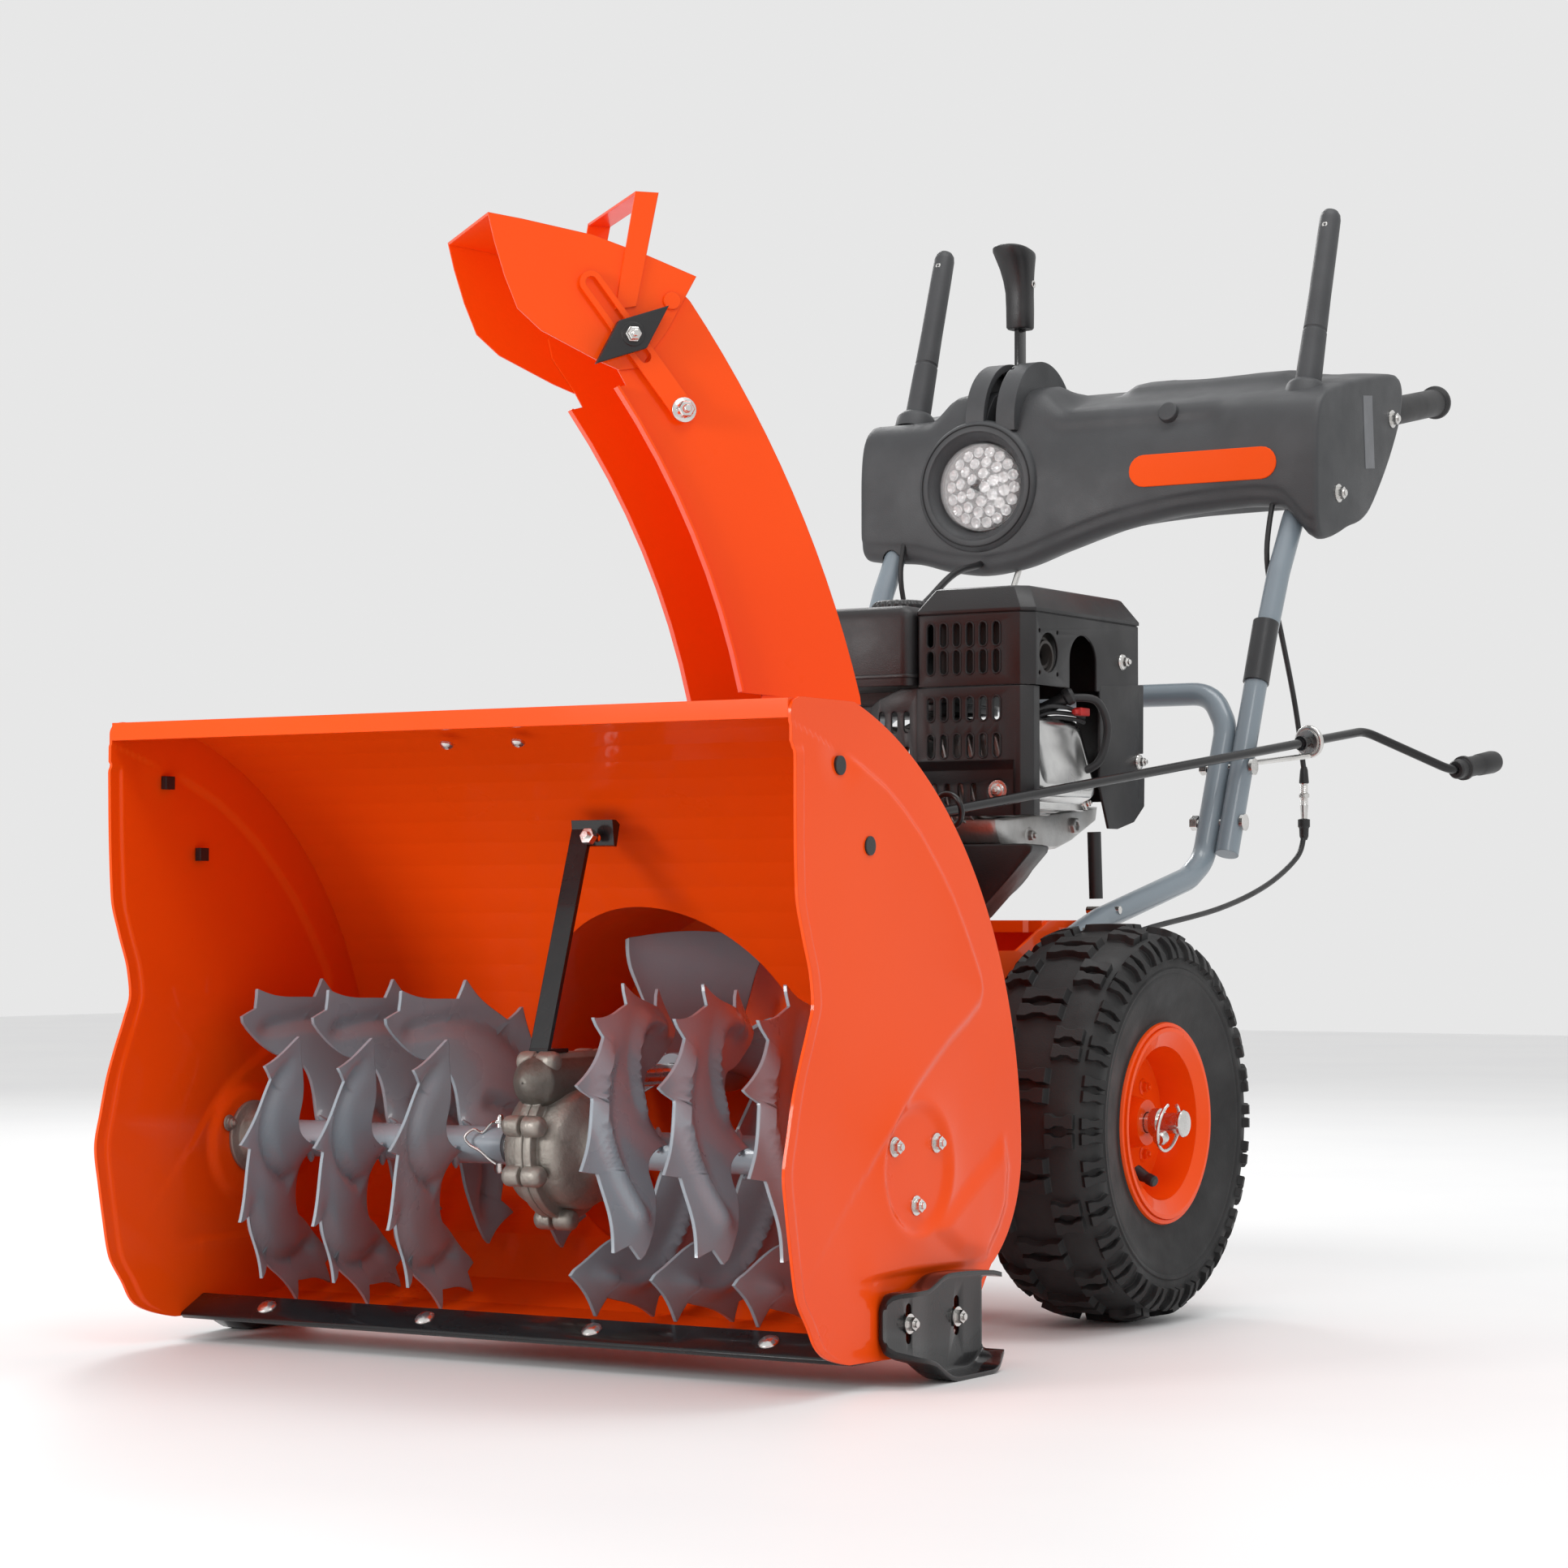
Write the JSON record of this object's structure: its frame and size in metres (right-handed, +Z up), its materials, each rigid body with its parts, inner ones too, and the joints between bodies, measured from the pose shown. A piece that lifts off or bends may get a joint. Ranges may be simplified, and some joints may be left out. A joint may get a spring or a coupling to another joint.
{
  "type": "snow blower",
  "caption": "Two-stage walk-behind snow blower with serrated augers, turning chute, petrol engine, console and pneumatic wheels.",
  "frame": {"origin": "on the ground under the middle of the machine, at the centre of its overall footprint", "axes": "+Z up, -Y towards the intake mouth, +X to the operator's left, the longest extent along Y"},
  "size_m": [0.8046, 1.6729, 1.1935],
  "materials": {
    "orange_paint": "gloss",
    "slate_paint": "satin",
    "tube_paint": "satin",
    "black_paint": "gloss",
    "black_plastic": "matte",
    "dark_plastic": "textured",
    "bright_steel": "zinc plated",
    "cast_metal": "as cast",
    "engine_alloy": "cast",
    "bronze": "machined",
    "tyre_rubber": "moulded",
    "soft_rubber": "moulded",
    "lens": "clear"
  },
  "bodies": {
    "machine": {"bucket_shell": "orange_paint", "side_plate_left": "orange_paint", "side_plate_right": "orange_paint", "scraper_bar": "black_paint", "skid_shoes": "black_paint", "housing_bolts": "bright_steel", "plate_plugs": "black_plastic", "auger_bearings": "cast_metal", "brace_strap": "black_paint", "impeller_drum": "orange_paint", "gearbox_left": "cast_metal", "gearbox_right": "cast_metal", "main_frame": "orange_paint", "belt_cover": "black_plastic", "engine_block": "engine_alloy", "valve_cover": "bright_steel", "muffler": "bright_steel", "muffler_guard": "black_plastic", "engine_shroud": "black_plastic", "airbox_cover": "black_plastic", "fuel_tank": "black_plastic", "recoil_housing": "black_plastic", "side_panel": "black_plastic", "spark_lead": "soft_rubber", "drain_hose": "soft_rubber", "lower_handle": "tube_paint", "upper_handles": "tube_paint", "handle_bolts": "bright_steel", "console": "dark_plastic", "head_lamp": "lens", "handle_grips": "soft_rubber", "shift_quadrant": "dark_plastic", "crank_bracket": "black_paint", "eye_bolt": "bright_steel", "control_cables": "soft_rubber", "shift_rod": "bright_steel", "impeller_belt": "soft_rubber"},
    "chute_assembly": {"chute": "orange_paint", "chute_ring": "black_plastic"},
    "chute_deflector": {"deflector": "orange_paint"},
    "tilt_link": {"deflector_link": "orange_paint"},
    "tilt_knob": {"wing_knob": "black_plastic"},
    "chute_crank": {"crank_rod": "black_paint"},
    "crank_handgrip": {"crank_grip": "soft_rubber"},
    "augers": {"auger_shaft": "bright_steel", "auger_left": "slate_paint", "auger_right": "slate_paint", "worm_wheel": "bronze"},
    "impeller_group": {"impeller": "slate_paint", "impeller_shaft": "bright_steel"},
    "crank_pulley": {"engine_pulley": "bright_steel"},
    "drive_wheels": {"axle": "bright_steel", "wheel_rims": "orange_paint", "tyres": "tyre_rubber", "axle_pins": "bright_steel"},
    "tank_cap": {"fuel_cap": "black_plastic"},
    "starter_grip": {"recoil_grip": "black_plastic"},
    "left_clutch_lever": {"clutch_lever_left": "black_plastic"},
    "right_clutch_lever": {"clutch_lever_right": "black_plastic"},
    "gear_lever": {"shift_lever": "black_plastic"}
  },
  "joints": [
    {"name": "impeller_spin", "type": "hinge", "parent": "machine", "child": "impeller_group", "pos_m": [0, -0.42, 0.244], "axis": [0, 1, 0], "continuous": true},
    {"name": "auger_spin", "type": "hinge", "parent": "machine", "child": "augers", "pos_m": [0, -0.623, 0.184], "axis": [1, 0, 0], "continuous": true},
    {"name": "engine_spin", "type": "hinge", "parent": "machine", "child": "crank_pulley", "pos_m": [0, -0.196, 0.5], "axis": [0, 1, 0], "continuous": true},
    {"name": "wheel_spin", "type": "hinge", "parent": "machine", "child": "drive_wheels", "pos_m": [0, -0.108, 0.1925], "axis": [1, 0, 0], "continuous": true},
    {"name": "chute_turn", "type": "hinge", "parent": "machine", "child": "chute_assembly", "pos_m": [0.057, -0.39, 0.453], "axis": [0, 0, 1], "range_deg": [-55, 135]},
    {"name": "crank_turn", "type": "hinge", "parent": "machine", "child": "chute_crank", "pos_m": [0.16068, -0.40661, 0.47], "axis": [0.1589, 0.9772, 0.1409], "range_deg": [-1625, 665]},
    {"name": "crank_grip_spin", "type": "hinge", "parent": "chute_crank", "child": "crank_handgrip", "pos_m": [0.38111, 0.54487, 0.55475], "axis": [0.1589, 0.9772, 0.1409], "continuous": true},
    {"name": "deflector_tilt", "type": "hinge", "parent": "chute_assembly", "child": "chute_deflector", "pos_m": [-0.01242, -0.47273, 0.956], "axis": [-0.766, 0.6428, 0], "range_deg": [-10, 35]},
    {"name": "link_swing", "type": "hinge", "parent": "chute_assembly", "child": "tilt_link", "pos_m": [0.05989, -0.52035, 0.855], "axis": [-0.766, 0.6428, 0], "range_deg": [-1, 3.5]},
    {"name": "wing_knob_turn", "type": "hinge", "parent": "chute_deflector", "child": "tilt_knob", "pos_m": [0.0317, -0.56328, 0.921], "axis": [0.766, -0.6428, 0], "range_deg": [0, 720]},
    {"name": "clutch_left_press", "type": "hinge", "parent": "machine", "child": "left_clutch_lever", "pos_m": [0.25, 0.442, 0.945], "axis": [-1, 0, 0], "range_deg": [0, 50], "stiffness_Nm_per_rad": 1.5, "springref_deg": -22.92},
    {"name": "clutch_right_press", "type": "hinge", "parent": "machine", "child": "right_clutch_lever", "pos_m": [-0.25, 0.442, 0.945], "axis": [-1, 0, 0], "range_deg": [0, 50], "stiffness_Nm_per_rad": 1.5, "springref_deg": -22.92},
    {"name": "gear_shift", "type": "hinge", "parent": "machine", "child": "gear_lever", "pos_m": [-0.115, 0.46, 0.962], "axis": [1, 0, 0], "range_deg": [-32, 32]},
    {"name": "fuel_cap_turn", "type": "hinge", "parent": "machine", "child": "tank_cap", "pos_m": [-0.045, 0.06, 0.705], "axis": [0, 0, 1], "range_deg": [0, 360]},
    {"name": "recoil_pull", "type": "slide", "parent": "machine", "child": "starter_grip", "axis": [0, 1, 0], "range_m": [0, 0.6], "stiffness_N_per_m": 12, "springref_m": -0.4}
  ],
  "couplings": [
    {"joint": "auger_spin", "follows": "impeller_spin", "ratio": 0.1},
    {"joint": "engine_spin", "follows": "impeller_spin", "ratio": 2.4324},
    {"joint": "crank_turn", "follows": "chute_turn", "ratio": -12},
    {"joint": "link_swing", "follows": "deflector_tilt", "ratio": 0.09}
  ]
}
